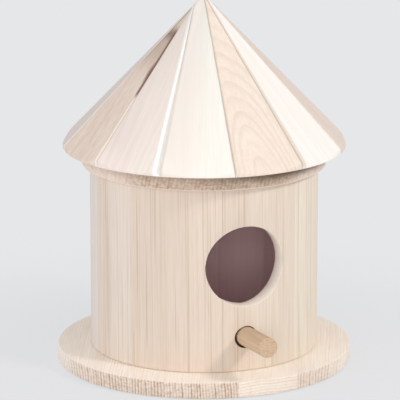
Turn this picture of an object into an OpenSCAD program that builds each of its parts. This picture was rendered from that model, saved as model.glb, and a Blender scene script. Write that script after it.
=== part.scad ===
// Round wooden birdhouse on a wider base board.
// Twelve bevelled staves make the wall, a round ceiling plate closes it, and
// twelve mitred boards make the pointed roof, whose eave is trimmed round.
// Millimetres, +Z up. The origin is the middle of the base board's underside,
// and the entrance faces -Y. Azimuths count from the front towards +X.

/* [Wall] */
// Clear width of the nest chamber, across the flat inner faces of its staves
chamber_w = 97; // [82:0.5:130]
// Thickness of a stave at the middle of its flat inner face
stave_t = 9.5; // [7:0.5:13]
// Height of the wall
wall_h = 94.5; // [86:0.5:150]

/* [Base board] */
// How far the base board runs out past the wall
base_over = 17; // [8:0.5:40]
// Thickness of the base board
base_t = 8; // [5:0.5:16]
// Width of the bevel that breaks its edges
base_edge = 0.7; // [0.2:0.1:1.5]

/* [Entrance] */
// Diameter of the round entrance
entrance_d = 41; // [28:1:44]
// Height of the entrance's centre above the base board
entrance_up = 54; // [50:0.5:60]

/* [Perch] */
// Diameter of the dowel
perch_d = 10; // [6:0.5:12]
// Length of the dowel outside the wall
perch_out = 28; // [15:1:50]
// Height of the dowel's axis above the base board, at the wall
perch_up = 18; // [14:0.5:20]
// Upward tilt of the dowel, in degrees
perch_tilt = 4; // [0:0.5:6]
// Free space round the dowel in its drilled hole
perch_play = 0.5; // [0.1:0.1:1]
// Width of the bevel that breaks the dowel's ends
perch_edge = 0.5; // [0.2:0.1:1]

/* [Ceiling plate] */
// How far the plate between the wall and the roof runs out past the wall
plate_over = 4; // [1:0.25:8]
// Thickness of the plate
plate_t = 9; // [5:0.5:16]
// Width of the bevel that breaks its edges
plate_edge = 0.8; // [0.2:0.1:1]

/* [Roof] */
// How far the eave, trimmed round, runs out past the ceiling plate
eave_over = 9.75; // [2:0.25:11]
// Height from the eave's underside to the tip
roof_h = 77.5; // [60:0.5:110]
// Thickness of a roof board, square to its slope
roof_t = 12; // [10:0.5:14]
// Height of the eave's upright edge at the middle of a board
eave_edge = 0.8; // [0.4:0.1:4]
// Azimuth of the roof ridge just left of the front
roof_ridge_angle = -9; // [-15:0.5:15]
// How far the board left of that ridge runs past the middle of the tip
tip_slip = 4.2; // [2:0.2:6]

/* [Hidden] */

$fn = 96;
// Staves in the wall, and boards in the roof
sides = 12;
// Angle that one stave or board takes up, and its mitre angle
pitch = 360 / sides;
mitre = pitch / 2;
// How far a cutter runs past the solid that it cuts
past = 5;

// The staves are glued first and then turned round outside
wall_r = chamber_w / 2 + stave_t;
base_r = wall_r + base_over;
plate_r = wall_r + plate_over;
eave_r = plate_r + eave_over;

plate_z = base_t + wall_h;
eave_z = plate_z + plate_t;
tip_z = eave_z + roof_h;

// Depth of the blind hole that the dowel is glued in
perch_seat = 0.65 * stave_t;

// Fall of a roof board over its run, along its middle line
roof_fall = (roof_h - eave_edge) / eave_r;
// A board's thickness measured straight down
roof_drop = roof_t * sqrt(1 + roof_fall * roof_fall);
// Where the underside of a board's middle line meets the ceiling plate
seat_r = (roof_h - roof_drop) / roof_fall;

// Azimuths of the ridge on the right of a roof board, and of its middle line
function ridge_angle(i) = roof_ridge_angle + i * pitch;
function board_angle(i) = ridge_angle(i - 0.5);

// A point of the plan, from its azimuth and its distance from the axis
function at(azimuth, r) = [r * sin(azimuth), -r * cos(azimuth)];

// The last board covers the tip and runs past the axis, so the joints of the two
// boards before it start at the end of its slip and not at the axis
slip_point = at(board_angle(sides) - 90, tip_slip);
function joint_start(i) = i == sides - 1 || i == sides - 2 ? slip_point : [0, 0];
// The joint on the right of a board ends past the eave, which is trimmed later
function joint_end(i) = joint_start(i) + 1.1 * (at(ridge_angle(i), eave_r) - joint_start(i));

// The third board from the end tapers to a point where its two joints cross
cross_run = joint_end(sides - 2) - slip_point;
cross_ray = at(ridge_angle(sides - 3), 1);
cross_point = cross_ray * cross(slip_point, cross_run) / cross(cross_ray, cross_run);

// Corners of a roof board as seen from above
function tip_corners(i) =
    i == sides ? [slip_point, [0, 0]] :
    i == sides - 1 ? [slip_point] :
    i == sides - 2 ? [cross_point] :
    i == sides - 3 ? [[0, 0], slip_point, cross_point] :
    [[0, 0]];
function board_corners(i) = concat(tip_corners(i), [joint_end(i), joint_end(i - 1)]);

// Neighbours whose slopes a board crosses, and is planed down to
function planed_to(i) =
    i == sides ? [sides - 3, sides - 2, sides - 1] :
    i == sides - 1 ? [sides - 3, sides - 2] :
    [];

// Tones of the unfinished boards, in the order in which they go round
stave_tones = ["BurlyWood", "Wheat", "Tan"];
board_tones = ["Linen", "AntiqueWhite", "OldLace", "Bisque"];

function tone(tones, i) = tones[i % len(tones)];

// Turns what points along +X to an azimuth counted from the front
module facing(azimuth) {
    rotate([0, 0, azimuth - 90])
        children();
}

// A turned disc or rod that stands on its end, with both of its edges broken
module broken_disc(r, h, edge) {
    rotate_extrude()
        polygon([[0, 0], [r - edge, 0], [r, edge], [r, h - edge], [r - edge, h], [0, h]]);
}

// Outline of a wall stave as seen from above: mitred sides that run out from its
// flat inner edge
module stave_outline(inner, outer) {
    polygon([
        [inner, inner * tan(mitre)],
        [inner, -inner * tan(mitre)],
        [outer, -outer * tan(mitre)],
        [outer, outer * tan(mitre)],
    ]);
}

// Puts +Z on the dowel's axis, with the origin where it leaves the wall
module on_perch_axis() {
    translate([0, -wall_r, base_t + perch_up])
        rotate([90 - perch_tilt, 0, 0])
            children();
}

module entrance_bore() {
    translate([0, 0, base_t + entrance_up])
        rotate([90, 0, 0])
            cylinder(d = entrance_d, h = wall_r + past);
}

module perch_bore() {
    on_perch_axis()
        translate([0, 0, -perch_seat])
            cylinder(d = perch_d + 2 * perch_play, h = perch_seat + past);
}

module base_board() {
    color("NavajoWhite")
        broken_disc(base_r, base_t, base_edge);
}

// One stave: turned round outside, flat inside, drilled where the holes fall.
// The joint between the last and the first is behind the entrance and the dowel.
module wall_stave(i) {
    color(tone(stave_tones, i))
        difference() {
            intersection() {
                translate([0, 0, base_t])
                    cylinder(r = wall_r, h = wall_h);
                facing((i - 0.5) * pitch)
                    linear_extrude(plate_z + past)
                        stave_outline(chamber_w / 2, wall_r + past);
            }
            entrance_bore();
            perch_bore();
        }
}

module perch() {
    color("Tan")
        on_perch_axis()
            translate([0, 0, -perch_seat])
                broken_disc(perch_d / 2, perch_seat + perch_out, perch_edge);
}

module ceiling_plate() {
    color("BurlyWood")
        translate([0, 0, plate_z])
            broken_disc(plate_r, plate_t, plate_edge);
}

// Runs a section through the middle of a roof board sideways over the whole roof
module across_board(i) {
    facing(board_angle(i))
        rotate([90, 0, 0])
            linear_extrude(2 * eave_r, center = true)
                children();
}

// Section of a roof board, from past the tip to the eave
module board_section() {
    polygon([
        [-past, tip_z + past * roof_fall],
        [eave_r + eave_edge / roof_fall, eave_z],
        [seat_r, eave_z],
        [-past, tip_z - roof_drop + past * roof_fall],
    ]);
}

// Section of what lies above a roof board's slope, carried on past the tip
module planed_section() {
    polygon([
        [-eave_r, tip_z + eave_r * roof_fall],
        [eave_r, tip_z - eave_r * roof_fall],
        [eave_r, tip_z + eave_r * roof_fall],
    ]);
}

// One roof board: the section run sideways, cut along its joints, planed down to
// its neighbours, with the eave trimmed round so that it is highest at the ridges
module roof_board(i) {
    color(tone(board_tones, i))
        difference() {
            intersection() {
                across_board(i)
                    board_section();
                linear_extrude(tip_z + past)
                    polygon(board_corners(i));
                translate([0, 0, eave_z])
                    cylinder(r = eave_r, h = roof_h + past);
            }
            for (k = planed_to(i))
                across_board(k)
                    planed_section();
        }
}

base_board();
for (i = [1 : sides])
    wall_stave(i);
perch();
ceiling_plate();
for (i = [1 : sides])
    roof_board(i);
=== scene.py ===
"""Looks of a round wooden birdhouse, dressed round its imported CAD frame.

Metres, in the frame of the CAD part: +Z is up, the origin is the middle of the base board's
underside and the entrance faces -Y. Azimuths count in degrees from the front towards +X.
"""

import logging
import math
from dataclasses import dataclass, field, replace
from enum import Enum
from typing import ClassVar, Iterable, Optional, Sequence, Union

import bmesh
import bpy
from mathutils import Matrix, Vector

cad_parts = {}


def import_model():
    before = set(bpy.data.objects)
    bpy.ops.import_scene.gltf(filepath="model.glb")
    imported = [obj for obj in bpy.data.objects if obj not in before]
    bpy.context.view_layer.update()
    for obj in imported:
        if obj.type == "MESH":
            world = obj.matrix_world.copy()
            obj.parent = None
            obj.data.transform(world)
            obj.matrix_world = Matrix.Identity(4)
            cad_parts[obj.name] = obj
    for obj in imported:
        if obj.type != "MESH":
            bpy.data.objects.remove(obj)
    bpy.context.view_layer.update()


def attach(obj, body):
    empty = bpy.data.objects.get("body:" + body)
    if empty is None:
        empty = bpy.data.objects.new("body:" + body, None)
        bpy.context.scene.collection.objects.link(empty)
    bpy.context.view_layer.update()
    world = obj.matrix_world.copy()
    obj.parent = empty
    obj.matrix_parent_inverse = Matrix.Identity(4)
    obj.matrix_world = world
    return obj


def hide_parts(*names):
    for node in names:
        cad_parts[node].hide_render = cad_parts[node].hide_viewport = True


LOG = logging.getLogger("birdhouse")
SIDES = 12
PITCH = 360.0 / SIDES
MITRE = math.radians(PITCH / 2)
AHEAD, ASIDE = Vector((1, 0, 0)), Vector((0, 1, 0))
UP, DOWN = Vector((0, 0, 1)), Vector((0, 0, -1))

# Metres within which points are one, a cut meets a point, and a point lies on a joint
SAME, CUT_SLACK, ON_JOINT = 1e-6, 1e-7, 1e-5

# Degrees from which an edge is shaded sharp, and from which it counts as one on each kind of piece
SHADED_SHARP, TURNED_SHARP, STAVE_SHARP, BOARD_SHARP = 28.0, 60.0, 30.0, 20.0

# Roughness of the latewood and of the softer wood, and what all the woods share
SANDED, SAWN, ROUGH = (0.52, 0.74), (0.6, 0.8), (0.7, 0.85)
RELIEF, RELIEF_SHARE, GLOSS = 0.00012, 0.55, 0.28

Socket = bpy.types.NodeSocket
Solid = bmesh.types.BMesh
Edge = bmesh.types.BMEdge
Value = Union[Socket, float]
Point = tuple[float, float, float]
Spot = tuple[float, float]


@dataclass(frozen=True)
class Tone:
    """A colour as it looks in plain light, in steps of 0 to 255."""

    red: float
    green: float
    blue: float

    def linear(self) -> tuple[float, float, float, float]:
        """Returns the linear colour that a node's socket takes."""
        shares = [step / 255 for step in (self.red, self.green, self.blue)]
        return (*(s / 12.92 if s <= 0.04045 else ((s + 0.055) / 1.055) ** 2.4 for s in shares), 1.0)

    def darkened(self, share: float) -> "Tone":
        """Returns the tone with each of its steps at a share."""
        return Tone(self.red * share, self.green * share, self.blue * share)


Colour = Union[Socket, Tone]


class Side(Enum):
    """The two mitred edges of a board, as seen from outside: the sign of its width axis."""

    LEFT = -1
    RIGHT = 1


class FaceKind(Enum):
    """Which of its piece's finishes a face takes."""

    PLAIN = 0
    CHAMBER = 1
    WORKED = 2
    DOWEL_HOLE = 3


def heading(azimuth: float, elevation: float) -> Vector:
    """Returns the unit vector that points at an azimuth and an elevation, both in degrees."""
    turn, rise = math.radians(azimuth), math.radians(elevation)
    return Vector((math.sin(turn) * math.cos(rise), -math.cos(turn) * math.cos(rise), math.sin(rise)))


def facing(azimuth: float) -> Matrix:
    """Returns the turn that takes +X to an azimuth in degrees, and +Y to its right."""
    return Matrix.Rotation(math.radians(azimuth - 90), 4, "Z")


@dataclass(frozen=True)
class Clouds:
    """A field of noise: clouds to the metre on each axis, its seed, its layers and the levels it shows between."""

    density: Point
    seed: float = 0.0
    layers: float = 2.0
    low: float = 0.0
    high: float = 1.0


class Sheet:
    """Writes the node tree of one material or of the world."""

    LAYER_SHARE: ClassVar[float] = 0.55

    def __init__(self, owner: Union[bpy.types.Material, bpy.types.World]) -> None:
        """Empties the tree of its owner.

        Args:
            owner: The material or the world.
        """
        owner.use_nodes = True
        self.owner = owner
        self.tree = owner.node_tree
        self.tree.nodes.clear()

    def feed(self, socket: Socket, value: object) -> None:
        """Links a socket to another one, or sets its own value.

        Args:
            socket: The socket that is fed.
            value: A socket or a plain value.
        """
        if isinstance(value, bpy.types.NodeSocket):
            self.tree.links.new(value, socket)
        else:
            socket.default_value = value

    def node(self, kind: str, inputs: Optional[dict] = None, **settings: object) -> bpy.types.Node:
        """Adds a node.

        Args:
            kind: The node's type, without its ShaderNode prefix.
            inputs: Values or sockets by input name or number.
            settings: The node's own properties.

        Returns:
            The new node.
        """
        made = self.tree.nodes.new("ShaderNode" + kind)
        for key, value in settings.items():
            setattr(made, key, value)
        for key, value in (inputs or {}).items():
            self.feed(made.inputs[key], value)
        return made

    def math(self, operation: str, first: Value, second: Value = 0.0) -> Socket:
        """Returns the result of a Math node on two values."""
        return self.node("Math", {0: first, 1: second}, operation=operation).outputs[0]

    def times(self, first: Value, second: Value) -> Socket:
        """Returns the product of two values."""
        return self.math("MULTIPLY", first, second)

    def plus(self, first: Value, second: Value) -> Socket:
        """Returns the sum of two values."""
        return self.math("ADD", first, second)

    def minus(self, first: Value, second: Value) -> Socket:
        """Returns a value less another one."""
        return self.math("SUBTRACT", first, second)

    def scaled(self, vector: Socket, factors: Point) -> Socket:
        """Returns a vector stretched along its three axes."""
        return self.node("VectorMath", {0: vector, 1: factors}, operation="MULTIPLY").outputs[0]

    def along(self, vector: Socket, axis: Vector) -> Socket:
        """Returns a vector's share along a fixed axis."""
        return self.node("VectorMath", {0: vector, 1: tuple(axis)}, operation="DOT_PRODUCT").outputs["Value"]

    def split(self, vector: Socket) -> tuple[Socket, Socket, Socket]:
        """Returns the three parts of a vector."""
        parts = self.node("SeparateXYZ", {0: vector}).outputs
        return parts[0], parts[1], parts[2]

    def noise(self, vector: Socket, clouds: Clouds, seed: float = 0.0) -> Socket:
        """Draws a field of noise.

        Args:
            vector: The place to read it at.
            clouds: The field.
            seed: Moves the field's own seed.

        Returns:
            The noise, of about 0 to 1.
        """
        inputs = {"Vector": self.scaled(vector, clouds.density), "W": clouds.seed + seed, "Scale": 1.0,
                  "Detail": clouds.layers, "Roughness": self.LAYER_SHARE}
        return self.node("TexNoise", inputs, noise_dimensions="4D").outputs[0]

    def shown(self, vector: Socket, clouds: Clouds, seed: float, start: float, end: float) -> Socket:
        """Returns a field of noise eased, between its two levels, from a start to an end."""
        return self.span(self.noise(vector, clouds, seed), clouds.low, clouds.high, start, end)

    def span(self, value: Value, low: float, high: float, start: float = 0.0, end: float = 1.0) -> Socket:
        """Returns a value eased from one range to another and held at its ends."""
        inputs = {"Value": value, "From Min": low, "From Max": high, "To Min": start, "To Max": end}
        return self.node("MapRange", inputs, interpolation_type="SMOOTHSTEP").outputs[0]

    def ramp(self, value: Value, stops: Sequence[tuple[float, Point]], held: bool = False) -> Socket:
        """Returns a colour ramp's colour.

        Args:
            value: Where to read the ramp, from 0 to 1.
            stops: Places and linear colours.
            held: Keeps each colour up to the next stop.

        Returns:
            The colour's socket.
        """
        made = self.node("ValToRGB", {0: value})
        ramp = made.color_ramp
        ramp.interpolation = "CONSTANT" if held else "LINEAR"
        while len(ramp.elements) < len(stops):
            ramp.elements.new(1.0)
        for element, (place, colour) in zip(ramp.elements, stops):
            element.position = place
            element.color = (*colour, 1.0)
        return made.outputs[0]

    def blend(self, share: Value, under: Colour, over: Colour, mode: str = "MIX") -> Socket:
        """Returns two colours blended by a share of the upper one."""
        low, high = (c.linear() if isinstance(c, Tone) else c for c in (under, over))
        return self.node("Mix", {0: share, 6: low, 7: high}, data_type="RGBA", blend_type=mode).outputs[2]

    def place(self, vector: Socket, origin: Point, axes: Matrix) -> Socket:
        """Returns a vector read in a frame with its own origin and axes."""
        inputs = {"Vector": vector, "Location": origin, "Rotation": axes.to_euler()}
        return self.node("Mapping", inputs, vector_type="TEXTURE").outputs[0]


@dataclass(frozen=True)
class Lay:
    """Where a piece's grain lies: its width, outward and length axes, and where they start."""

    origin: Point
    width: Vector
    outward: Vector
    length: Vector

    def axes(self) -> Matrix:
        """Returns the turn whose columns are the three axes."""
        return Matrix((self.width, self.outward, self.length)).transposed()


def level_lay(azimuth: float, height: float) -> Lay:
    """Returns the lay of a level board at a height, with its grain along an azimuth in degrees."""
    along = heading(azimuth, 0.0)
    return Lay((0.0, 0.0, height), UP.cross(along), UP, along)


@dataclass
class Surface:
    """What a finish works on: the material's nodes, the place on the piece and the colour so far."""

    sheet: Sheet
    lay: Lay
    normal: Socket
    spot: Socket
    colour: Optional[Socket] = None
    height: Optional[Socket] = None
    late: Optional[Socket] = None


@dataclass(frozen=True)
class Wood:
    """One cut of pale softwood: its colours, and how its growth rings and fibres show."""

    early: Tone
    late: Tone
    stain: Tone
    ring: float = 0.0021
    rings: float = 0.6
    pith: Spot = (0.012, -0.06)
    tilt: Spot = (0.0, 0.0)
    wander: float = 1.1
    streaks: float = 0.35
    fibres: float = 0.16
    stains: float = 0.45
    grain: Spot = (620.0, 13.0)
    patchy: float = 0.0
    lines: float = 0.0
    end_dark: float = 0.0
    end_rings: float = 0.5
    end_turn: Spot = (0.45, 0.95)
    end_tone: Tone = Tone(172, 142, 116)
    seed: float = 0.0

    DRIFT: ClassVar[Clouds] = Clouds((48.0, 48.0, 9.0))
    STAINS: ClassVar[Clouds] = Clouds((70.0, 70.0, 16.0), 9.3, 2.0, 0.35, 0.7)
    STREAKS: ClassVar[Clouds] = Clouds((0.0, 0.0, 0.0), 3.1, 2.0, 0.42, 0.72)
    CALM: ClassVar[Clouds] = Clouds((75.0, 75.0, 2.0), 8.8, 1.0, 0.4, 0.62)
    LINES: ClassVar[Clouds] = Clouds((1150.0, 1150.0, 1.6), 6.4, 1.0, 0.6, 0.68)
    FIBRES: ClassVar[Clouds] = Clouds((2300.0, 2300.0, 60.0), 5.7, 1.0, 0.35, 0.75)
    PORES: ClassVar[Clouds] = Clouds((520.0, 900.0, 60.0), 2.2, 3.0, 0.35, 0.7)
    PORE_SHARES: ClassVar[Spot] = (0.3, 0.7)
    YEAR: ClassVar[tuple[Spot, ...]] = ((0.0, 0.0), (0.4, 0.06), (0.82, 1.0), (0.9, 0.85), (1.0, 0.0))
    FAINTEST_YEAR: ClassVar[float] = 0.3
    LINE_SHARE: ClassVar[float] = 0.93
    RING_RELIEF: ClassVar[float] = 0.5
    FIBRE_TONE: ClassVar[Tone] = Tone(196, 172, 148)

    def in_log(self, surface: Surface, shift: Optional[Socket]) -> Socket:
        """Reads a surface's places in the log that its wood was cut from.

        Args:
            surface: The surface.
            shift: Moves the log's middle from one glued strip to the next.

        Returns:
            The places, with the third axis along the log.
        """
        sheet, base = surface.sheet, surface.spot
        if shift is not None:
            base = sheet.node("VectorMath", {0: base, 1: shift}, operation="SUBTRACT").outputs[0]
        tilt = Matrix.Rotation(self.tilt[0], 3, "X") @ Matrix.Rotation(self.tilt[1], 3, "Y")
        return sheet.place(base, (*self.pith, 0.0), tilt)

    def latewood(self, sheet: Sheet, log: Socket) -> Socket:
        """Draws the growth rings.

        Args:
            sheet: The material's nodes.
            log: The places in the log.

        Returns:
            How far each place is latewood, from 0 to 1.
        """
        across, depth, _ = sheet.split(log)
        radius = sheet.math("SQRT", sheet.plus(sheet.times(across, across), sheet.times(depth, depth)))
        drift = sheet.times(sheet.noise(log, self.DRIFT, self.seed), self.wander)
        turns = sheet.plus(sheet.math("DIVIDE", radius, self.ring), drift)
        count = sheet.math("FLOOR", turns)
        year = sheet.node("TexWhiteNoise", {"W": count}, noise_dimensions="1D").outputs["Value"]
        late = sheet.ramp(sheet.math("FRACT", turns), [(place, (level,) * 3) for place, level in self.YEAR])
        return sheet.times(late, sheet.span(year, 0.0, 1.0, self.FAINTEST_YEAR, 1.0))

    def streak(self, sheet: Sheet, log: Socket) -> Socket:
        """Draws the dark streaks along the grain.

        Args:
            sheet: The material's nodes.
            log: The places in the log.

        Returns:
            The streaks' share of the colour.
        """
        fine, run = self.grain
        clouds = replace(self.STREAKS, density=(fine, fine, run))
        share = sheet.shown(log, clouds, self.seed, 0.0, self.streaks)
        if not self.patchy:
            return share
        return sheet.times(share, sheet.shown(log, self.CALM, self.seed, 1.0 - self.patchy, 1.0))

    def end_grain(self, surface: Surface, log: Socket, late: Socket, end_share: Value) -> Socket:
        """Finds where the wood is cut across, and how dark it is there.

        Args:
            surface: The surface.
            log: The places in the log.
            late: The latewood.
            end_share: How much of the end grain's darkness each strip has.

        Returns:
            The share of the end grain's tone.
        """
        sheet = surface.sheet
        end = sheet.span(sheet.math("ABSOLUTE", sheet.along(surface.normal, surface.lay.length)), *self.end_turn)
        end = sheet.times(end, sheet.times(end_share, self.end_dark))
        pore = sheet.shown(log, self.PORES, self.seed, *self.PORE_SHARES)
        return sheet.times(sheet.plus(pore, sheet.times(late, self.end_rings)), end)

    def spread(self, surface: Surface, shift: Optional[Socket] = None, end_share: Value = 1.0) -> None:
        """Lays the wood's colour and relief on a surface.

        Args:
            surface: The surface, whose colour, relief and latewood are set.
            shift: Moves the log's middle from one glued strip to the next.
            end_share: How much of the end grain's darkness each strip has.
        """
        sheet = surface.sheet
        log = self.in_log(surface, shift)
        late = self.latewood(sheet, log)
        fibre = sheet.noise(log, self.FIBRES, self.seed)
        colour = sheet.blend(sheet.times(late, self.rings), self.early, self.late)
        colour = sheet.blend(sheet.shown(log, self.STAINS, self.seed, 0.0, self.stains), colour, self.stain)
        colour = sheet.blend(self.streak(sheet, log), colour, self.late)
        if self.lines:
            line = sheet.shown(log, self.LINES, self.seed, 0.0, self.lines)
            colour = sheet.blend(line, colour, self.late.darkened(self.LINE_SHARE))
        thread = sheet.span(fibre, self.FIBRES.low, self.FIBRES.high, 0.0, self.fibres)
        colour = sheet.blend(thread, colour, self.FIBRE_TONE, "MULTIPLY")
        if self.end_dark:
            colour = sheet.blend(self.end_grain(surface, log, late, end_share), colour, self.end_tone, "MULTIPLY")
        surface.colour, surface.late = colour, late
        surface.height = sheet.plus(sheet.times(late, self.RING_RELIEF), fibre)


CHAMBER_WOOD = Wood(early=Tone(255, 228, 232), late=Tone(246, 214, 218), stain=Tone(255, 226, 230), rings=0.3,
                    fibres=0.08, seed=71.0)


@dataclass(frozen=True)
class EdgeBand:
    """A streak along one mitred edge of a roof board.

    Its widths are those at the tip and at the eave, and its run is between two shares of the slope.
    """

    side: Side
    tone: Tone
    widths: Spot
    run: Spot = (-0.2, 1.2)
    strength: float = 1.0
    soft: float = 0.0004
    fade: float = 0.03
    RAGGED: ClassVar[Clouds] = Clouds((500.0, 500.0, 90.0), 4.4)

    def spread(self, surface: Surface, seams: dict[Side, Spot], slope: float) -> None:
        """Lays the streak.

        Args:
            surface: The board's surface.
            seams: Where each edge lies on the board's width at the tip, and how it moves for each metre down.
            slope: The board's length from the tip to the eave.
        """
        sheet, soft, fade = surface.sheet, self.soft, self.fade
        width, _, down = sheet.split(surface.spot)
        origin, taper = seams[self.side]
        at_tip, at_eave = self.widths
        start, end = self.run
        seam = sheet.plus(sheet.times(down, taper), origin)
        inside = sheet.times(sheet.minus(seam, width), self.side.value)
        share = sheet.math("DIVIDE", down, slope)
        ragged = sheet.times(sheet.minus(sheet.noise(surface.spot, self.RAGGED), 0.5), 2 * soft)
        reach = sheet.plus(sheet.plus(sheet.times(share, at_eave - at_tip), at_tip), ragged)
        mask = sheet.span(sheet.minus(reach, inside), -soft, soft)
        ends = sheet.times(sheet.span(share, start - fade, start + fade),
                           sheet.span(share, end - fade, end + fade, self.strength, 0.0))
        surface.colour = sheet.blend(sheet.times(mask, ends), surface.colour, self.tone)


@dataclass(frozen=True)
class SideWash:
    """A slow change of colour across a board, from one place on its width to another."""

    tone: Tone
    clear: float
    full: float
    strength: float = 1.0

    def spread(self, surface: Surface, seams: dict[Side, Spot], slope: float) -> None:
        """Lays the wash.

        Args:
            surface: The board's surface.
            seams: The board's edges, which don't matter here.
            slope: The board's length, which doesn't matter here.
        """
        sheet = surface.sheet
        share = sheet.span(sheet.split(surface.spot)[0], self.clear, self.full, 0.0, self.strength)
        surface.colour = sheet.blend(share, surface.colour, self.tone)


@dataclass(frozen=True)
class PaintedEaveShade:
    """Painted shade of the eave along the upper edge of a plate, heavier towards one side of its width."""

    tone: Tone = Tone(88, 72, 56)
    full: float = 0.0028
    clear: float = 0.0072
    faint_side: float = -0.02
    heavy_side: float = 0.042
    faint: float = 0.2
    strength: float = 0.9
    ragged: float = 0.002
    RAGGED: ClassVar[Clouds] = Clouds((420.0, 420.0, 420.0), 6.6)

    def spread(self, surface: Surface, height: float) -> None:
        """Lays the painted eave shade down from a plate's upper side.

        Args:
            surface: The plate's surface.
            height: The height of its upper side above its lay.
        """
        sheet = surface.sheet
        across, up, _ = sheet.split(surface.spot)
        ragged = sheet.times(sheet.noise(surface.spot, self.RAGGED), self.ragged)
        below = sheet.plus(sheet.minus(height - self.ragged / 2, up), ragged)
        mask = sheet.times(sheet.span(below, self.full, self.clear, self.strength, 0.0),
                           sheet.span(across, self.faint_side, self.heavy_side, self.faint, 1.0))
        surface.colour = sheet.blend(mask, surface.colour, self.tone)


def start_surface(name: str, lay: Lay) -> Surface:
    """Begins a material.

    Args:
        name: The material's name.
        lay: The lay of the piece, in which places are read.

    Returns:
        The bare surface.
    """
    sheet = Sheet(bpy.data.materials.new(name))
    coords = sheet.node("TexCoord").outputs
    return Surface(sheet, lay, coords["Normal"], sheet.place(coords["Object"], lay.origin, lay.axes()))


def close_surface(surface: Surface, rough: Spot = SANDED) -> bpy.types.Material:
    """Ends a material with its shader.

    Args:
        surface: The dressed surface.
        rough: Roughness of the latewood and of the softer wood.

    Returns:
        The material.
    """
    sheet = surface.sheet
    roughness = sheet.span(surface.late, 0.0, 1.0, rough[1], rough[0])
    bump = sheet.node("Bump", {"Strength": RELIEF_SHARE, "Distance": RELIEF, "Height": surface.height})
    inputs = {"Base Color": surface.colour, "Roughness": roughness, "Normal": bump.outputs[0],
              "Specular IOR Level": GLOSS}
    shader = sheet.node("BsdfPrincipled", inputs)
    sheet.feed(sheet.node("OutputMaterial").inputs[0], shader.outputs[0])
    return sheet.owner


def coat(name: str, lay: Lay, wood: Wood, rough: Spot = SANDED) -> bpy.types.Material:
    """Makes a material of one plain wood.

    Args:
        name: The material's name.
        lay: The lay of the piece.
        wood: The wood.
        rough: Roughness of the latewood and of the softer wood.

    Returns:
        The material.
    """
    surface = start_surface(name, lay)
    wood.spread(surface)
    return close_surface(surface, rough)


def chamber_finish(name: str) -> bpy.types.Material:
    """Returns a new material of the rough, paler faces inside the nest chamber."""
    return coat(name, Lay((0.0, 0.0, 0.1), AHEAD, ASIDE, UP), CHAMBER_WOOD, ROUGH)


def turned(profile: Sequence[Spot], steps: int) -> Solid:
    """Turns a half profile round the upright axis into a closed solid.

    Args:
        profile: Radius and height of each corner, from the axis back to the axis.
        steps: Facets in a full turn.

    Returns:
        The solid's bmesh.
    """
    bm = bmesh.new()
    corners = [bm.verts.new((radius, 0.0, height)) for radius, height in profile]
    edges = [bm.edges.new(pair) for pair in zip(corners, corners[1:])]
    bmesh.ops.spin(bm, geom=corners + edges, axis=UP, cent=(0, 0, 0), dvec=(0, 0, 0), angle=math.tau, steps=steps,
                   use_merge=True)
    bmesh.ops.remove_doubles(bm, verts=bm.verts, dist=SAME)
    bmesh.ops.recalc_face_normals(bm, faces=bm.faces)
    return bm


def round_bar(place: Matrix, radius: float, depth: float, facets: int) -> Solid:
    """Makes a round bar along a frame's Z axis.

    Args:
        place: The frame, in the middle of the bar.
        radius: Its radius.
        depth: Its length.
        facets: Facets in a full turn.

    Returns:
        The bar's bmesh.
    """
    bm = bmesh.new()
    bmesh.ops.create_cone(bm, cap_ends=True, segments=facets, radius1=radius, radius2=radius, depth=depth,
                          matrix=place)
    return bm


def wedge(inner: Sequence[Spot], outer: float, floor: float, top: float, steps: int, gap: float = 0.0) -> Solid:
    """Makes one mitred wedge of the ring, along +X and round outside.

    Args:
        inner: Its inner corners as seen from above, from the +Y side to the other.
        outer: Radius of its outer face.
        floor: Height of its underside.
        top: Height of its upper side.
        steps: Facets in its outer face.
        gap: How far its sides stay back from its neighbours.

    Returns:
        The wedge's bmesh.
    """
    bm = bmesh.new()
    near = [bm.verts.new((*corner, floor)) for corner in inner]
    first = bm.verts.new((outer * math.cos(MITRE), -outer * math.sin(MITRE), floor))
    bmesh.ops.spin(bm, geom=[first], axis=UP, cent=(0, 0, floor), dvec=(0, 0, 0), angle=2 * MITRE, steps=steps)
    arc = sorted((v for v in bm.verts if v not in near), key=lambda v: v.co.y)
    outline = bm.faces.new(near + arc)
    if gap:
        ring = bmesh.ops.inset_individual(bm, faces=[outline], thickness=gap, use_even_offset=True)
        bmesh.ops.delete(bm, geom=ring["faces"], context="FACES")
    grown = bmesh.ops.extrude_face_region(bm, geom=list(bm.faces))
    raised = [v for v in grown["geom"] if isinstance(v, bmesh.types.BMVert)]
    bmesh.ops.translate(bm, verts=raised, vec=(0, 0, top - floor))
    bmesh.ops.recalc_face_normals(bm, faces=bm.faces)
    return bm


def shave(bm: Solid, through: Vector, outward: Vector) -> None:
    """Cuts off what lies outside a plane, and closes the cut.

    Args:
        bm: The solid that is cut.
        through: A point of the plane.
        outward: The plane's normal, on the side that is cut off.
    """
    everything = list(bm.verts) + list(bm.edges) + list(bm.faces)
    cut = bmesh.ops.bisect_plane(bm, geom=everything, dist=CUT_SLACK, plane_co=through, plane_no=outward,
                                 clear_outer=True)
    rim = [e for e in cut["geom_cut"] if isinstance(e, Edge) and e.is_boundary]
    if rim:
        bmesh.ops.edgeloop_fill(bm, edges=rim)
    bmesh.ops.recalc_face_normals(bm, faces=bm.faces)


def ease(bm: Solid, edges: Iterable[Edge], width: float, segments: int) -> None:
    """Rounds edges over by a width in metres, in a number of segments."""
    bmesh.ops.bevel(bm, geom=list(edges), offset=width, offset_type="OFFSET", affect="EDGES", segments=segments,
                    profile=0.5, material=-1, clamp_overlap=True)


def sharp_edges(bm: Solid, least: float) -> list[Edge]:
    """Returns the edges whose faces turn by at least an angle in degrees."""
    return [e for e in bm.edges if e.is_manifold and e.calc_face_angle(0.0) > math.radians(least)]


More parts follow.
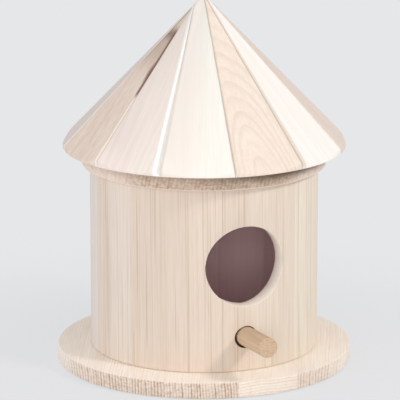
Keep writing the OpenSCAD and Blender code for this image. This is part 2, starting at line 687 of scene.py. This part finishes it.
def as_mesh(bm: Solid, name: str) -> bpy.types.Mesh:
    """Turns a bmesh into a mesh.

    Args:
        bm: The bmesh, which is used up.
        name: The mesh's name.

    Returns:
        The mesh.
    """
    mesh = bpy.data.meshes.new(name)
    bm.to_mesh(mesh)
    bm.free()
    return mesh


def show(name: str, data: bpy.types.ID) -> bpy.types.Object:
    """Puts a mesh, a lamp or a camera into the scene.

    Args:
        name: The object's name.
        data: What it shows.

    Returns:
        The object.
    """
    made = bpy.data.objects.new(name, data)
    bpy.context.scene.collection.objects.link(made)
    return made


def bored(blank: Solid, cutters: Sequence[Solid]) -> Solid:
    """Drills a blank with round cutters.

    Args:
        blank: The solid that is drilled, which is used up.
        cutters: The solids that are taken away, which are used up.

    Returns:
        The drilled solid.
    """
    holders = [show("drilling", as_mesh(bm, "drilling")) for bm in (blank, *cutters)]
    for cutter in holders[1:]:
        drill = holders[0].modifiers.new("drill", "BOOLEAN")
        drill.operation, drill.solver, drill.object = "DIFFERENCE", "EXACT", cutter
    done = bmesh.new()
    done.from_object(holders[0], bpy.context.evaluated_depsgraph_get())
    for holder in holders:
        mesh = holder.data
        bpy.data.objects.remove(holder)
        bpy.data.meshes.remove(mesh)
    return done


def mark_chamber(bm: Solid, radius: float, height: float) -> None:
    """Picks out the faces that close the nest chamber.

    Args:
        bm: The plate or board that closes it.
        radius: The chamber's radius.
        height: The height of those faces.
    """
    for face in bm.faces:
        middle = face.calc_center_median()
        if abs(middle.z - height) < SAME and math.hypot(middle.x, middle.y) < radius:
            face.material_index = FaceKind.CHAMBER.value


def bring_in(bm: Solid, name: str, node: str, finishes: Sequence[bpy.types.Material]) -> None:
    """Makes a finished bmesh a piece that stands for its CAD node.

    Args:
        bm: The piece's bmesh, which is used up.
        name: The piece's name.
        node: The CAD node that it stands for.
        finishes: Its materials, in the order of the kinds of faces.
    """
    for face in bm.faces:
        face.smooth = True
    mesh = as_mesh(bm, name)
    mesh.set_sharp_from_angle(angle=math.radians(SHADED_SHARP))
    for finish in finishes:
        mesh.materials.append(finish)
    piece = show(name, mesh)
    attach(piece, "root")
    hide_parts(node)
    LOG.info("%s stands for %s with %d faces", name, node, len(mesh.polygons))


@dataclass(frozen=True)
class BaseStrip:
    """One glued strip of the base board: its left border, its log's middle and its end grain's darkness."""

    left: float
    pith: Spot
    end_share: float
    REACH: ClassVar[float] = 0.2

    def pith_share(self) -> Spot:
        """Returns the log's middle as shares of the reach on both sides of the board's own middle."""
        return tuple(0.5 + place / (2 * self.REACH) for place in self.pith)


@dataclass
class BaseBoard:
    """The round board that the birdhouse stands on, glued up from strips that run front to back."""

    radius: float = 0.075
    thickness: float = 0.008
    edge: float = 0.0007
    grain_azimuth: float = -24.0
    chamber: float = 0.0485
    facets: int = 240
    strips: tuple[BaseStrip, ...] = (
        BaseStrip(-0.075, (-0.19, -0.012), 0.6),
        BaseStrip(-0.051, (-0.17, -0.002), 0.7),
        BaseStrip(-0.027, (-0.16, -0.008), 0.75),
        BaseStrip(0.020, (0.035, -0.12), 0.2),
        BaseStrip(0.049, (0.19, 0.0), 0.5),
    )
    wood: Wood = Wood(early=Tone(252, 243, 233), late=Tone(233, 215, 195), stain=Tone(249, 235, 223), ring=0.0015,
                      rings=0.45, pith=(-BaseStrip.REACH, -BaseStrip.REACH), wander=1.7, end_dark=1.0,
                      end_rings=0.8, end_turn=(0.2, 0.7), streaks=0.25, stains=0.4, seed=11.0)

    def finish(self) -> bpy.types.Material:
        """Makes its material: strips with their own rings, and end grain on the edge.

        Returns:
            The material.
        """
        surface = start_surface("base_wood", level_lay(self.grain_azimuth, 0.0))
        sheet, across, reach = surface.sheet, 2 * self.radius, 2 * BaseStrip.REACH
        place = sheet.plus(sheet.math("DIVIDE", sheet.split(surface.spot)[0], across), 0.5)
        stops = [(0.5 + strip.left / across, (*strip.pith_share(), strip.end_share)) for strip in self.strips]
        kept = sheet.ramp(place, stops, held=True)
        self.wood.spread(surface, sheet.scaled(kept, (reach, reach, 0.0)), sheet.split(kept)[2])
        return close_surface(surface)

    def build(self) -> None:
        """Turns the board and rounds its two edges over."""
        bm = turned([(0.0, 0.0), (self.radius, 0.0), (self.radius, self.thickness), (self.chamber, self.thickness),
                     (0.0, self.thickness)], self.facets)
        ease(bm, sharp_edges(bm, TURNED_SHARP), self.edge, 3)
        mark_chamber(bm, self.chamber, self.thickness)
        bring_in(bm, "base_disc", "base_board", [self.finish(), chamber_finish("chamber_floor_wood")])


@dataclass(frozen=True)
class DowelAxis:
    """The dowel's axis: where it leaves the wall, its upward tilt in degrees and how deep the dowel is seated."""

    wall: float = 0.058
    height: float = 0.026
    tilt: float = 4.0
    seat: float = 0.006175

    def frame(self) -> Matrix:
        """Returns the frame whose +Z runs out along the axis, from the face of the wall."""
        lean = Matrix.Rotation(math.radians(90 - self.tilt), 4, "X")
        return Matrix.Translation((0, -self.wall, self.height)) @ lean


@dataclass
class Wall:
    """Twelve staves glued into a ring and turned round, with the entrance and the dowel's hole."""

    inner: float = 0.0485
    outer: float = 0.058
    floor: float = 0.008
    top: float = 0.1025
    entrance_radius: float = 0.0205
    entrance_height: float = 0.062
    dowel: DowelAxis = DowelAxis()
    dowel_hole: float = 0.0055
    torn: float = 0.0008
    chip: float = 0.0014
    foot: float = 0.0007
    edge: float = 0.00014
    rim: float = 0.0004
    facets: int = 20
    bore_depth: float = 0.039
    entrance_facets: int = 112
    hole_facets: int = 48
    early: Tone = Tone(244, 231, 214)
    late: Tone = Tone(206, 185, 164)
    cut_wood: Wood = Wood(early=Tone(255, 243, 231), late=Tone(252, 235, 222), stain=Tone(255, 241, 229),
                          rings=0.15, streaks=0.15, fibres=0.05)
    hole_wood: Wood = Wood(early=Tone(92, 70, 56), late=Tone(70, 52, 42), stain=Tone(80, 60, 48), seed=47.0)
    # Tones of the darker staves: partly each stave's own tone, partly painted shade
    tone_and_shade: dict[int, Tone] = field(default_factory=lambda: {
        7: Tone(228, 219, 211), 8: Tone(231, 222, 214), 9: Tone(232, 224, 217), 10: Tone(230, 217, 205),
        11: Tone(226, 210, 195), 12: Tone(228, 212, 197), 1: Tone(231, 217, 202), 2: Tone(238, 227, 212)})

    # How far a dowel cutter passes the wall, how near a point or a face is to the bore, how near rim points merge,
    # and how far inside the chamber's corners its faces end
    PAST_HOLE: ClassVar[float] = 0.004
    ON_BORE: ClassVar[float] = 4e-5
    BY_BORE: ClassVar[float] = 0.0006
    MERGED: ClassVar[float] = 0.0005
    CORNER_SLACK: ClassVar[float] = 1e-4

    # Shares of a face's turn: it looks inwards below the first, and out along the dowel above the second
    INWARDS: ClassVar[float] = -0.9
    OUTWARDS: ClassVar[float] = 0.85

    # How far the hole's mouth reaches past its radius and the chip lies below its axis, as shares of torn, how deep
    # the chip's floor lies at least, as a share of chip, and how near the foot's corner is, as a share of foot
    MOUTH: ClassVar[float] = 1.2
    CHIP_FLOOR: ClassVar[float] = 0.7
    CHIP_DROP: ClassVar[float] = 0.4
    NEAR_FOOT: ClassVar[float] = 1.5

    # What makes the staves' woods differ
    SWAY_STEP: ClassVar[float] = 2.4
    SEED_STEP: ClassVar[float] = 1.7
    STAIN_SHARE: ClassVar[float] = 0.96

    def lay(self, azimuth: float) -> Lay:
        """Returns the lay of the stave at an azimuth in degrees: its length runs down."""
        turn = facing(azimuth).to_3x3()
        return Lay(tuple(turn @ AHEAD * self.outer + UP * self.top), turn @ ASIDE, turn @ AHEAD, DOWN)

    def finish(self, number: int, azimuth: float) -> bpy.types.Material:
        """Makes the material of one stave.

        Args:
            number: The stave's number.
            azimuth: The azimuth of its middle, in degrees.

        Returns:
            The material.
        """
        sway = math.sin(number * self.SWAY_STEP)
        # Some staves take a darker tone, partly painted shade
        early = self.tone_and_shade.get(number, self.early)
        wood = Wood(early=early, late=self.late, stain=early.darkened(self.STAIN_SHARE),
                    ring=0.0023 + 0.0005 * sway, rings=0.18, pith=(0.06 * sway, -0.07 - 0.02 * sway),
                    tilt=(0.008 * sway, 0.006), wander=0.8, streaks=0.6, fibres=0.14, lines=0.5,
                    grain=(980.0, 4.0), patchy=0.9, seed=20.0 + number * self.SEED_STEP)
        return coat(f"stave_wood_{number:02d}", self.lay(azimuth), wood)

    def entrance_cutter(self) -> Solid:
        """Returns the solid of the entrance's bore."""
        place = Matrix.Translation((0, -self.outer, self.entrance_height)) @ Matrix.Rotation(math.pi / 2, 4, "X")
        return round_bar(place, self.entrance_radius, self.bore_depth, self.entrance_facets)

    def dowel_cutter(self, depth: float, aside: Spot = (0.0, 0.0)) -> Solid:
        """Returns a solid as wide as the dowel's hole and of a depth, aside from its axis or on it."""
        place = self.dowel.frame() @ Matrix.Translation((*aside, (self.PAST_HOLE - depth) / 2))
        return round_bar(place, self.dowel_hole, depth + self.PAST_HOLE, self.hole_facets)

    def in_dowel_hole(self, face: bmesh.types.BMFace) -> bool:
        """Tells the faces of the dowel's hole, and of the chip at its mouth.

        Args:
            face: A stave's face.

        Returns:
            Whether it is one of them.
        """
        into = self.dowel.frame().inverted()
        spot = into @ face.calc_center_median()
        turn = into.to_3x3() @ face.normal
        near = math.hypot(spot.x, spot.y) < self.dowel_hole + self.MOUTH * self.torn
        sunk = turn.z < self.OUTWARDS or spot.z < -self.CHIP_FLOOR * self.chip
        return near and abs(spot.x) > ON_JOINT and sunk

    def on_bore(self, vert: bmesh.types.BMVert) -> bool:
        """Returns whether a point lies on the entrance's bore."""
        away = math.hypot(vert.co.x, vert.co.z - self.entrance_height)
        return abs(away - self.entrance_radius) < self.ON_BORE

    def rim_edges(self, bm: Solid) -> list[Edge]:
        """Returns the outer and inner rims of the entrance."""
        seam = [e for e in sharp_edges(bm, STAVE_SHARP) if all(self.on_bore(v) for v in e.verts)]
        return [e for e in seam if max(abs(v.co.x) for v in e.verts) > ON_JOINT]

    def level_edges(self, bm: Solid) -> list[Edge]:
        """Returns a stave's sharp edges that lie level."""
        return [e for e in sharp_edges(bm, STAVE_SHARP) if abs(e.verts[0].co.z - e.verts[1].co.z) < SAME]

    def at_foot(self, edge: Edge) -> bool:
        """Returns whether an edge lies at the foot of a stave's outer face."""
        near = self.NEAR_FOOT * self.foot
        return all(v.co.z < self.floor + near and v.co.xy.length > self.outer - near for v in edge.verts)

    def mark(self, bm: Solid) -> None:
        """Picks out a stave's faces in the chamber, in the entrance and in the dowel's hole.

        Args:
            bm: The stave, in its place.
        """
        corner = self.inner / math.cos(MITRE) - self.CORNER_SLACK
        for face in bm.faces:
            middle = face.calc_center_median()
            inside = face.normal.dot(Vector((middle.x, middle.y, 0)).normalized()) < self.INWARDS
            from_bore = Vector((middle.x, 0, middle.z - self.entrance_height))
            by_bore = abs(from_bore.length - self.entrance_radius) < self.BY_BORE
            cut = by_bore and face.normal.dot(from_bore.normalized()) < self.INWARDS
            if inside and math.hypot(middle.x, middle.y) < corner:
                face.material_index = FaceKind.CHAMBER.value
            elif cut and middle.y < 0:
                face.material_index = FaceKind.WORKED.value
            elif middle.y < 0 and self.in_dowel_hole(face):
                face.material_index = FaceKind.DOWEL_HOLE.value

    def stave(self, number: int, azimuth: float) -> Solid:
        """Makes one stave, drilled where a hole falls on it.

        Args:
            number: The stave's number.
            azimuth: The azimuth of its middle, in degrees.

        Returns:
            The stave's bmesh, in its place.
        """
        flat = self.inner * math.tan(MITRE)
        bm = wedge([(self.inner, flat), (self.inner, -flat)], self.outer, self.floor, self.top, self.facets)
        ease(bm, [e for e in self.level_edges(bm) if self.at_foot(e)], self.foot, 1)
        ease(bm, [e for e in self.level_edges(bm) if not self.at_foot(e)], self.edge, 1)
        bmesh.ops.transform(bm, matrix=facing(azimuth), verts=bm.verts)
        if number in (1, SIDES):
            hole = self.dowel_cutter(self.dowel.seat)
            chip = self.dowel_cutter(self.chip, (-self.torn, -self.CHIP_DROP * self.torn))
            bm = bored(bm, [self.entrance_cutter(), hole, chip])
            rim = dict.fromkeys(v for e in self.rim_edges(bm) for v in e.verts)
            bmesh.ops.remove_doubles(bm, verts=list(rim), dist=self.MERGED)
            ease(bm, self.rim_edges(bm), self.rim, 2)
        self.mark(bm)
        return bm

    def build(self) -> None:
        """Makes the twelve staves."""
        chamber = chamber_finish("chamber_wall_wood")
        reveal = coat("entrance_wood", self.lay(0.0), self.cut_wood, SAWN)
        hole = coat("dowel_hole_wood", self.lay(0.0), self.hole_wood, SAWN)
        for number in range(1, SIDES + 1):
            azimuth = (number - 0.5) * PITCH
            bm = self.stave(number, azimuth)
            finishes = [self.finish(number, azimuth), chamber, reveal, hole]
            bring_in(bm, f"stave_{number:02d}", f"wall_stave_{number}", finishes)


@dataclass
class Perch:
    """The dowel that is glued in under the entrance, tilted up a little."""

    radius: float = 0.005
    length: float = 0.028
    axis: DowelAxis = DowelAxis()
    edge: float = 0.0005
    facets: int = 72
    wood: Wood = Wood(early=Tone(214, 188, 159), late=Tone(182, 148, 118), stain=Tone(206, 176, 150), ring=0.0013,
                      rings=0.5, pith=(0.003, -0.03), streaks=0.45, fibres=0.2, stains=0.4, end_dark=0.2,
                      end_rings=0.2, end_tone=Tone(232, 204, 214), seed=55.0)

    def build(self) -> None:
        """Turns the dowel, rounds its ends over and sets it on its axis."""
        seat, end = -self.axis.seat, self.length
        bm = turned([(0.0, seat), (self.radius, seat), (self.radius, end), (0.0, end)], self.facets)
        ease(bm, sharp_edges(bm, TURNED_SHARP), self.edge, 3)
        place = self.axis.frame()
        bmesh.ops.transform(bm, matrix=place, verts=bm.verts)
        turn = place.to_3x3()
        lay = Lay(tuple(place.translation), turn @ AHEAD, turn @ ASIDE, turn @ UP)
        bring_in(bm, "perch_dowel", "perch", [coat("perch_wood", lay, self.wood)])


@dataclass
class CeilingPlate:
    """The round plate between the wall and the roof, with a rounded lower edge."""

    radius: float = 0.062
    floor: float = 0.1025
    top: float = 0.1115
    edge: float = 0.0008
    chamber: float = 0.0485
    grain_azimuth: float = -18.0
    facets: int = 216
    wood: Wood = Wood(early=Tone(238, 222, 210), late=Tone(208, 186, 166), stain=Tone(226, 204, 193), ring=0.0018,
                      rings=0.35, pith=(0.16, -0.03), end_dark=1.1, end_tone=Tone(192, 177, 154), end_rings=0.25,
                      end_turn=(0.6, 0.86), streaks=0.4, stains=0.5, seed=83.0)
    # Paler wood on the rounded lower lip: a painted highlight
    lip_highlight: Wood = Wood(early=Tone(246, 233, 222), late=Tone(226, 206, 190), stain=Tone(240, 224, 212), rings=0.2,
                        fibres=0.12, seed=85.0)
    LEVEL: ClassVar[float] = 0.3

    def build(self) -> None:
        """Turns the plate and rounds its edges over."""
        bm = turned([(0.0, self.floor), (self.chamber, self.floor), (self.radius, self.floor),
                     (self.radius, self.top), (0.0, self.top)], self.facets)
        ease(bm, sharp_edges(bm, TURNED_SHARP), self.edge, 4)
        mark_chamber(bm, self.chamber, self.floor)
        # The faces of the rounded lower lip take the paler wood of the painted highlight
        for face in bm.faces:
            height = face.calc_center_median().z
            if abs(face.normal.z) > self.LEVEL and self.floor < height < self.floor + self.edge:
                face.material_index = FaceKind.WORKED.value
        lay = level_lay(self.grain_azimuth, self.floor)
        surface = start_surface("plate_wood", lay)
        self.wood.spread(surface)
        # Painted shade of the eave along the plate's upper edge, heavier towards +X
        PaintedEaveShade().spread(surface, self.top - self.floor)
        finishes = [close_surface(surface), chamber_finish("chamber_ceiling_wood"),
                    coat("plate_lip_highlight", lay, self.lip_highlight)]
        bring_in(bm, "ceiling_disc", "ceiling_plate", finishes)


@dataclass(frozen=True)
class RoofBoard:
    """One roof board's own wood, the widths of its left and right eased edges at the eave, and its marks."""

    slot: str
    wood: Wood
    eased: Spot = (0.0006, 0.0006)
    marks: tuple[Union[EdgeBand, SideWash], ...] = ()


@dataclass
class Roof:
    """Twelve mitred boards that meet at the tip, trimmed round at the eave."""

    boards: dict[int, RoofBoard]
    eave_radius: float = 0.07175
    eave_height: float = 0.1115
    rise: float = 0.0775
    board: float = 0.012
    eave_edge: float = 0.0008
    ridge_azimuth: float = -9.0
    edge: float = 0.00022
    ease_tilt: float = 32.0
    slip: float = 0.0042
    gap: float = 0.00008
    facets: int = 24

    # How far a blank passes the tip, how near a point is to the eave, and to how many neighbours a board is planed
    SPARE: ClassVar[float] = 0.004
    AT_EAVE: ClassVar[float] = 0.0002
    PLANED: ClassVar[dict[int, int]] = {SIDES - 1: 2, SIDES: 3}

    def fall(self) -> float:
        """Returns the fall of a board for each metre of its run."""
        return (self.rise - self.eave_edge) / self.eave_radius

    def tip(self) -> Vector:
        """Returns the roof's highest point."""
        return UP * (self.eave_height + self.rise)

    def slope(self) -> tuple[Vector, Vector]:
        """Returns the way down a board that points along +X, and its outward normal."""
        steep = math.atan(self.fall())
        return (Vector((math.cos(steep), 0, -math.sin(steep))), Vector((math.sin(steep), 0, math.cos(steep))))

    def slipped(self, place: int) -> Spot:
        """Returns where the last board's end lies, seen from a board that many places before it."""
        turn = math.radians(PITCH * place - 90)
        return (self.slip * math.cos(turn), self.slip * math.sin(turn))

    def tip_corners(self, number: int) -> list[Spot]:
        """Finds a board's inner corners as seen from above.

        The last board runs past the middle by the slip, so the three on its left stop short of it.

        Args:
            number: The board's number.

        Returns:
            The corners, from its right side to its left.
        """
        place = SIDES - number
        if place > 3:
            return [(0.0, 0.0)]
        slip = self.slipped(place)
        near, beside = self.knee() * math.cos(MITRE), self.knee() * math.sin(MITRE)
        return ([(0.0, 0.0), slip], [slip], [(near, -beside)], [(near, beside), slip, (0.0, 0.0)])[place]

    def knee(self) -> float:
        """Finds where the two seams of the tenth board meet.

        Returns:
            How far from the axis that is.
        """
        x, y = self.slipped(2)
        run = Vector((self.eave_radius * math.cos(MITRE) - x, self.eave_radius * math.sin(MITRE) - y))
        ray = Vector((math.cos(MITRE), -math.sin(MITRE)))
        return (x * run.y - y * run.x) / (ray.x * run.y - ray.y * run.x)

    def seams(self, number: int) -> dict[Side, tuple[Vector, Vector]]:
        """Finds the two edges of a board on its slope.

        Args:
            number: The board's number.

        Returns:
            Where each edge starts and ends.
        """
        corners = self.tip_corners(number)
        found = {}
        for side, corner in ((Side.RIGHT, corners[0]), (Side.LEFT, corners[-1])):
            end = (self.eave_radius * math.cos(MITRE), side.value * self.eave_radius * math.sin(MITRE))
            found[side] = tuple(Vector((x, y, self.tip().z - x * self.fall())) for x, y in (corner, end))
        return found

    def eave_edges(self, bm: Solid) -> list[Edge]:
        """Finds a board's sharp edges along the round eave.

        Args:
            bm: The board, pointing along +X.

        Returns:
            The edges.
        """
        far = [e for e in sharp_edges(bm, BOARD_SHARP)
               if all(math.hypot(v.co.x, v.co.y) > self.eave_radius - self.AT_EAVE for v in e.verts)]
        return [e for e in far if abs(e.verts[0].co.y - e.verts[1].co.y) > ON_JOINT]

    def blank(self, number: int, board: RoofBoard) -> Solid:
        """Makes a board that points along +X, with its edges eased.

        Args:
            number: The board's number.
            board: Its own sizes.

        Returns:
            The board's bmesh.
        """
        top = self.eave_height + self.rise + self.SPARE
        bm = wedge(self.tip_corners(number), self.eave_radius, self.eave_height, top, self.facets, self.gap)
        _, out = self.slope()
        shave(bm, self.tip(), out)
        for beside in range(1, self.PLANED.get(number, 0) + 1):
            shave(bm, self.tip(), Matrix.Rotation(-beside * 2 * MITRE, 3, "Z") @ out)
        shave(bm, self.tip() - out * self.board, -out)
        ease(bm, self.eave_edges(bm), self.edge, 2)
        tilt = math.radians(self.ease_tilt)
        left, right = board.eased
        for side, (start, end) in self.seams(number).items():
            width = right if side is Side.RIGHT else left
            end = end - ASIDE * (side.value * width)
            across = out.cross((end - start).normalized()).normalized()
            across = across if across.y * side.value > 0 else -across
            shave(bm, start, out * math.cos(tilt) + across * math.sin(tilt))
        return bm

    def finish(self, number: int, board: RoofBoard, turn: Matrix) -> bpy.types.Material:
        """Makes the material of one board.

        Args:
            number: The board's number.
            board: Its own wood and marks.
            turn: The turn that takes +X to its azimuth.

        Returns:
            The material.
        """
        down, out = self.slope()
        lay = Lay(tuple(self.tip()), turn @ ASIDE, turn @ out, turn @ down)
        surface = start_surface(f"roof_wood_{number:02d}", lay)
        board.wood.spread(surface)
        lines = {}
        for side, (start, end) in self.seams(number).items():
            taper = (end.y - start.y) / ((end.x - start.x) / down.x)
            lines[side] = (start.y - taper * start.x / down.x, taper)
        for mark in board.marks:
            mark.spread(surface, lines, self.eave_radius / down.x)
        return close_surface(surface)

    def build(self) -> None:
        """Makes the twelve boards."""
        for number, board in self.boards.items():
            turn = facing(self.ridge_azimuth + (number - 0.5) * PITCH)
            bm = self.blank(number, board)
            bmesh.ops.transform(bm, matrix=turn, verts=bm.verts)
            finish = self.finish(number, board, turn.to_3x3())
            bring_in(bm, f"roof_plank_{number:02d}", f"roof_board_{number}", [finish])


def roof_boards() -> dict[int, RoofBoard]:
    """Chooses the wood and the marks of the roof's boards, each from another plank.

    Returns:
        The boards by number.
    """
    left, right = Side.LEFT, Side.RIGHT
    white = Wood(early=Tone(242, 239, 231), late=Tone(232, 222, 208), stain=Tone(240, 233, 225), rings=0.3,
                 streaks=0.2, fibres=0.08, stains=0.4, pith=(0.01, -0.05), seed=31.0)
    bright = replace(white, early=Tone(251, 247, 243), late=Tone(240, 231, 221), stain=Tone(249, 242, 236))
    cream = Wood(early=Tone(240, 230, 222), late=Tone(224, 207, 192), stain=Tone(236, 220, 214), rings=0.3,
                 streaks=0.25, fibres=0.1, stains=0.5, pith=(-0.03, -0.05), seed=33.0)
    dim = replace(cream, early=Tone(227, 217, 211), late=Tone(206, 190, 178))
    peach = Wood(early=Tone(239, 226, 214), late=Tone(218, 198, 180), stain=Tone(238, 219, 205), ring=0.0024,
                 rings=0.55, pith=(-0.006, -0.034), tilt=(-0.27, 0.02), wander=2.0, streaks=0.2, fibres=0.1,
                 stains=0.4, seed=35.0)
    grey = Wood(early=Tone(236, 221, 208), late=Tone(206, 184, 166), stain=Tone(229, 208, 195), rings=0.45,
                streaks=0.32, fibres=0.2, stains=0.6, pith=(0.02, -0.04), tilt=(0.1, 0.0), seed=37.0)
    dull = replace(grey, early=Tone(239, 226, 215), late=Tone(220, 202, 192), stain=Tone(232, 215, 208))

    # The marks of the streaked board
    streak = EdgeBand(right, Tone(128, 94, 82), (0.0016, 0.0026), (0.225, 0.6), strength=0.92, soft=0.0005,
                      fade=0.02)
    knot = EdgeBand(right, Tone(128, 94, 82), (0.0034, 0.0034), (0.43, 0.51), strength=0.8, soft=0.0008, fade=0.04)
    patch = EdgeBand(right, Tone(124, 94, 84), (0.008, 0.008), (0.22, 0.27), strength=0.8, soft=0.0018, fade=0.035)
    dusk = EdgeBand(right, Tone(176, 154, 138), (0.02, 0.02), (0.2, 0.42), strength=0.6, soft=0.004, fade=0.1)
    dry = EdgeBand(right, Tone(212, 200, 176), (0.02, 0.02), (-0.3, 0.195), strength=0.7, soft=0.004, fade=0.06)
    # Paler band on the eased right edge, which faces the light: partly worn wood, partly painted highlight
    worn_and_highlight = EdgeBand(right, Tone(250, 237, 224), (0.0012, 0.0018), (0.62, 1.2), strength=0.75, soft=0.0003)
    dark_side = EdgeBand(left, Tone(140, 116, 98), (0.0009, 0.0006), (0.08, 0.45), strength=0.7, soft=0.0003,
                         fade=0.05)

    # Planed edges, paler with painted highlight where they face the light and with painted shade and shadow where
    # they face away, and joints
    # White band on the eased right edge, which faces the light: partly planed wood, partly painted highlight
    planed_and_highlight = EdgeBand(right, Tone(250, 249, 246), (0.0012, 0.0042), strength=0.85, soft=0.0003)
    # Pale band on the eased right edge, which faces the light: partly paler wood, partly painted highlight
    pale_edge_highlight = EdgeBand(right, Tone(248, 241, 234), (0.0012, 0.0022), strength=0.7)
    shade = EdgeBand(left, Tone(226, 210, 196), (0.0006, 0.0030), strength=0.7, soft=0.0003)
    deep_joint = EdgeBand(right, Tone(186, 178, 168), (0.0004, 0.0007), strength=0.9, soft=0.0002)
    wide_joint = EdgeBand(right, Tone(190, 177, 163), (0.0005, 0.0009), strength=0.9, soft=0.0003)
    left_joint = EdgeBand(left, Tone(206, 184, 168), (0.0003, 0.0006), (0.35, 1.2), strength=0.8, soft=0.0002)
    beside = EdgeBand(left, Tone(208, 192, 176), (0.0004, 0.0006), strength=0.6, soft=0.0003)
    # Painted shadow along the board's left edge, beside its neighbour's planed edge
    under = EdgeBand(left, Tone(214, 205, 196), (0.0007, 0.0012), (0.1, 1.2), strength=0.7, soft=0.0005)
    wash = SideWash(Tone(238, 227, 218), clear=0.004, full=-0.008, strength=0.7)
    return {
        1: RoofBoard("roof_wood_peach", peach, (0.0006, 0.0004), (wide_joint, beside)),
        2: RoofBoard("roof_wood_white", bright, (0.0028, 0.0010), (shade,)),
        3: RoofBoard("roof_wood_grey", dull),
        4: RoofBoard("roof_wood_cream", cream),
        5: RoofBoard("roof_wood_peach", peach),
        6: RoofBoard("roof_wood_white", white),
        7: RoofBoard("roof_wood_cream", cream),
        8: RoofBoard("roof_wood_grey", grey),
        9: RoofBoard("roof_wood_cream", dim, (0.0006, 0.0012), (pale_edge_highlight,)),
        10: RoofBoard("roof_wood_grey", grey, (0.0005, 0.0016), (dusk, dry, worn_and_highlight, dark_side, streak, knot, patch)),
        11: RoofBoard("roof_wood_cream", cream, (0.0005, 0.0040), (left_joint, planed_and_highlight, deep_joint)),
        12: RoofBoard("roof_wood_white", white, (0.0005, 0.0006), (wash, under, wide_joint)),
    }


@dataclass(frozen=True)
class Lamp:
    """A soft square lamp: its azimuth and elevation in degrees, its width, its power in watts and its tint."""

    name: str
    azimuth: float
    elevation: float
    size: float
    power: float
    tint: Tone
    DISTANCE: ClassVar[float] = 1.5

    def hang(self, target: Vector) -> None:
        """Hangs the lamp and aims it.

        Args:
            target: The place that it is aimed at.
        """
        data = bpy.data.lights.new(self.name, "AREA")
        data.shape, data.size, data.energy, data.color = "SQUARE", self.size, self.power, self.tint.linear()[:3]
        toward = heading(self.azimuth, self.elevation)
        lamp = show(self.name, data)
        lamp.location = target + toward * self.DISTANCE
        lamp.rotation_euler = (-toward).to_track_quat("-Z", "Y").to_euler()


@dataclass
class Studio:
    """The camera, the plain pale floor and the soft light."""

    backdrop: Tone = Tone(230, 231, 233)
    paint: Tone = Tone(226, 227, 229)
    middle_height: float = 0.1
    eye_azimuth: float = -21.5
    eye_elevation: float = 13.757
    eye_distance: float = 1.667
    lens: float = 295.0
    sensor: float = 36.0
    clip: Spot = (0.05, 50.0)
    aim_left: float = 0.00206
    aim_down: float = 0.01707
    ambient: float = 0.61
    floor_radius: float = 6.0
    floor_drop: float = 0.0005
    shadow: Spot = (0.08, 0.26)
    shadow_share: float = 0.75
    lamps: tuple[Lamp, ...] = (
        Lamp("key", 36.0, 35.0, 0.2, 7.3, Tone(255, 252, 247)),
        Lamp("fill", -68.0, 12.0, 1.2, 9.0, Tone(250, 251, 255)),
        Lamp("front", -20.0, 10.0, 0.5, 2.8, Tone(255, 252, 248)),
    )

    def camera(self) -> None:
        """Sets the camera up where the photograph was taken from."""
        middle = UP * self.middle_height
        toward = heading(self.eye_azimuth, self.eye_elevation)
        right = UP.cross(toward).normalized()
        above = toward.cross(right).normalized()
        eye = middle + toward * self.eye_distance
        aim = middle - right * self.aim_left - above * self.aim_down
        data = bpy.data.cameras.new("camera")
        data.lens, data.sensor_width = self.lens, self.sensor
        data.clip_start, data.clip_end = self.clip
        camera = show("camera", data)
        camera.location = eye
        camera.rotation_euler = (aim - eye).to_track_quat("-Z", "Y").to_euler()
        bpy.context.scene.camera = camera

    def seen(self, sheet: Sheet) -> Socket:
        """Tells the rays that show the backdrop from those that only light.

        Args:
            sheet: The nodes of the world or of the floor.

        Returns:
            1 where a ray comes from the camera, a gloss or a clear body, and 0 elsewhere.
        """
        path = sheet.node("LightPath").outputs
        gloss = sheet.math("MAXIMUM", path["Is Glossy Ray"], path["Is Transmission Ray"])
        return sheet.math("MAXIMUM", path["Is Camera Ray"], gloss)

    def world(self) -> None:
        """Gives the world an even light and a flat pale backdrop."""
        world = bpy.data.worlds.new("studio")
        bpy.context.scene.world = world
        sheet = Sheet(world)
        even = sheet.node("Background", {0: (1.0, 1.0, 1.0, 1.0), 1: self.ambient})
        flat = sheet.node("Background", {0: self.backdrop.linear(), 1: 1.0})
        mixed = sheet.node("MixShader", {0: self.seen(sheet), 1: even.outputs[0], 2: flat.outputs[0]})
        sheet.feed(sheet.node("OutputWorld").inputs[0], mixed.outputs[0])

    def floor_paint(self) -> bpy.types.Material:
        """Makes the floor's material, which fades into the backdrop away from the object.

        Returns:
            The material.
        """
        sheet = Sheet(bpy.data.materials.new("floor_paint"))
        spot = sheet.node("TexCoord").outputs["Object"]
        away = sheet.node("VectorMath", {0: spot}, operation="LENGTH").outputs["Value"]
        share = sheet.times(self.seen(sheet), sheet.span(away, *self.shadow, self.shadow_share, 1.0))
        matt = sheet.node("BsdfDiffuse", {"Color": self.paint.linear()})
        flat = sheet.node("Emission", {"Color": self.backdrop.linear(), "Strength": 1.0})
        mixed = sheet.node("MixShader", {0: share, 1: matt.outputs[0], 2: flat.outputs[0]})
        sheet.feed(sheet.node("OutputMaterial").inputs[0], mixed.outputs[0])
        return sheet.owner

    def floor(self) -> None:
        """Lays a pale floor that keeps a soft shadow near the object."""
        bm = bmesh.new()
        bmesh.ops.create_circle(bm, cap_ends=True, segments=64, radius=self.floor_radius,
                                matrix=Matrix.Translation((0, 0, -self.floor_drop)))
        mesh = as_mesh(bm, "floor")
        mesh.materials.append(self.floor_paint())
        floor = show("floor", mesh)

    def build(self) -> None:
        """Sets the whole studio up."""
        bpy.context.scene.view_settings.view_transform = "Standard"
        self.camera()
        self.world()
        self.floor()
        for lamp in self.lamps:
            lamp.hang(UP * self.middle_height)


def main() -> None:
    """Builds the studio and the birdhouse's pieces in order."""
    logging.basicConfig(level=logging.INFO, format="%(message)s")
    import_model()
    Studio().build()
    BaseBoard().build()
    Wall().build()
    Perch().build()
    CeilingPlate().build()
    Roof(roof_boards()).build()


if __name__ == "__main__":
    main()
